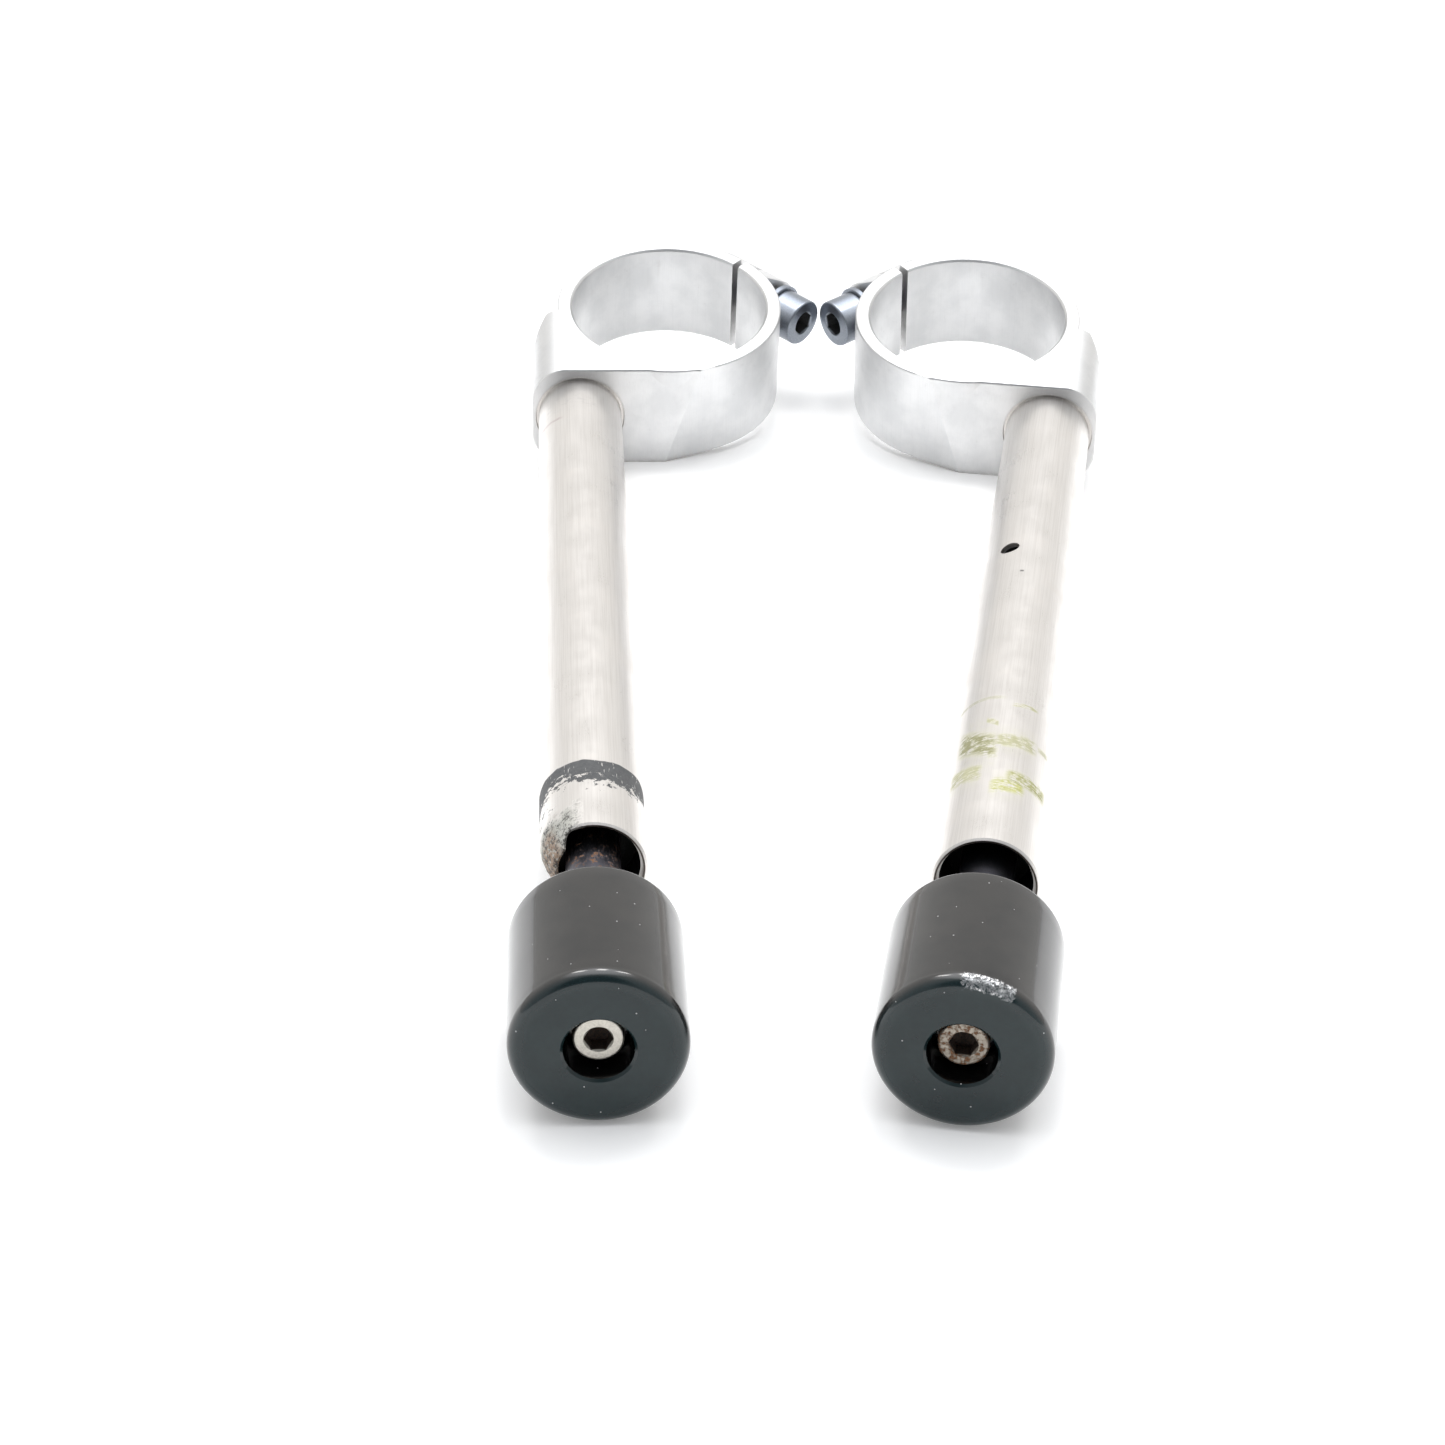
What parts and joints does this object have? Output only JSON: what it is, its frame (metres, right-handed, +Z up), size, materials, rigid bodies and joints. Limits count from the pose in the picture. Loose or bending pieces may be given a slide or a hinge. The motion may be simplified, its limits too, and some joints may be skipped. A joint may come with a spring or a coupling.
{
  "type": "clip-on handlebar pair",
  "caption": "Mirrored pair of clip-on motorcycle handlebars: split fork clamps with pinch bolts, straight bar tubes and screwed bar end weights.",
  "frame": {"origin": "centre of the pair's footprint, on the surface that it lies on", "axes": "+Z up, -Y the way the bars point, X = 0 half way between the two clip-ons, left clip-on at -X"},
  "size_m": [0.1538, 0.3616, 0.0408],
  "materials": {
    "clamp_aluminium": "satin, machined",
    "bar_aluminium": "polished along the bar, worn",
    "black_anodised": "black anodised, satin",
    "black_steel": "black oxide, oiled",
    "bolt_steel": "zinc plated",
    "screw_steel": "bright steel, some rust",
    "rubber": "matte black"
  },
  "bodies": {
    "left_clip_on": {"left_fork_clamp": "clamp_aluminium", "left_bar_tube": "bar_aluminium"},
    "left_pinch_washer": {"left_pinch_washer": "bolt_steel"},
    "left_pinch_bolt": {"left_pinch_bolt": "bolt_steel"},
    "left_bar_end": {"left_end_weight": "black_anodised", "left_spacer": "black_steel", "left_screw_washer": "screw_steel", "left_pressure_washer": "screw_steel", "left_expander_rubber": "rubber"},
    "left_weight_screw": {"left_weight_screw": "screw_steel"},
    "left_expander_nut": {"left_expander_nut": "screw_steel"},
    "right_clip_on": {"right_fork_clamp": "clamp_aluminium", "right_bar_tube": "bar_aluminium"},
    "right_pinch_washer": {"right_pinch_washer": "bolt_steel"},
    "right_pinch_bolt": {"right_pinch_bolt": "bolt_steel"},
    "right_bar_end": {"right_end_weight": "black_anodised", "right_spacer": "black_steel", "right_screw_washer": "screw_steel", "right_pressure_washer": "screw_steel", "right_expander_rubber": "rubber"},
    "right_weight_screw": {"right_weight_screw": "screw_steel"},
    "right_expander_nut": {"right_expander_nut": "screw_steel"}
  },
  "joints": [
    {"name": "pair_spread", "type": "slide", "parent": "left_clip_on", "child": "right_clip_on", "axis": [1, 0, 0], "range_m": [0, 0.2]},
    {"name": "left_pinch_travel", "type": "slide", "parent": "left_clip_on", "child": "left_pinch_washer", "axis": [0.7832, -0.604, -0.1475], "range_m": [-0.00126, 0]},
    {"name": "left_pinch_turn", "type": "hinge", "parent": "left_pinch_washer", "child": "left_pinch_bolt", "pos_m": [-0.01272, 0.16244, 0.02472], "axis": [0.7832, -0.604, -0.1475], "range_deg": [-360, 0]},
    {"name": "left_bar_end_pull", "type": "slide", "parent": "left_clip_on", "child": "left_bar_end", "axis": [0.0993, -0.995, 0.0129], "range_m": [0, 0.11]},
    {"name": "left_weight_screw_turn", "type": "hinge", "parent": "left_bar_end", "child": "left_weight_screw", "pos_m": [-0.0338, -0.17933, 0.01777], "axis": [0.0993, -0.995, 0.0129], "range_deg": [0, 1080]},
    {"name": "left_expander_nut_travel", "type": "slide", "parent": "left_bar_end", "child": "left_expander_nut", "axis": [-0.0993, 0.995, -0.0129], "range_m": [0, 0.00301]},
    {"name": "right_pinch_travel", "type": "slide", "parent": "right_clip_on", "child": "right_pinch_washer", "axis": [-0.7832, -0.604, -0.1474], "range_m": [-0.00126, 0]},
    {"name": "right_pinch_turn", "type": "hinge", "parent": "right_pinch_washer", "child": "right_pinch_bolt", "pos_m": [0.01272, 0.16244, 0.02471], "axis": [-0.7832, -0.604, -0.1474], "range_deg": [-360, 0]},
    {"name": "right_bar_end_pull", "type": "slide", "parent": "right_clip_on", "child": "right_bar_end", "axis": [-0.0993, -0.995, 0.0131], "range_m": [0, 0.11]},
    {"name": "right_weight_screw_turn", "type": "hinge", "parent": "right_bar_end", "child": "right_weight_screw", "pos_m": [0.03414, -0.17595, 0.01778], "axis": [-0.0993, -0.995, 0.0131], "range_deg": [0, 1080]},
    {"name": "right_expander_nut_travel", "type": "slide", "parent": "right_bar_end", "child": "right_expander_nut", "axis": [0.0993, 0.995, -0.0131], "range_m": [0, 0.00301]}
  ],
  "couplings": [
    {"joint": "left_pinch_travel", "follows": "left_pinch_turn", "m_per_rad": 0.00019894},
    {"joint": "left_expander_nut_travel", "follows": "left_weight_screw_turn", "m_per_rad": 0.00015915},
    {"joint": "right_pinch_travel", "follows": "right_pinch_turn", "m_per_rad": 0.00019894},
    {"joint": "right_expander_nut_travel", "follows": "right_weight_screw_turn", "m_per_rad": 0.00015915}
  ]
}
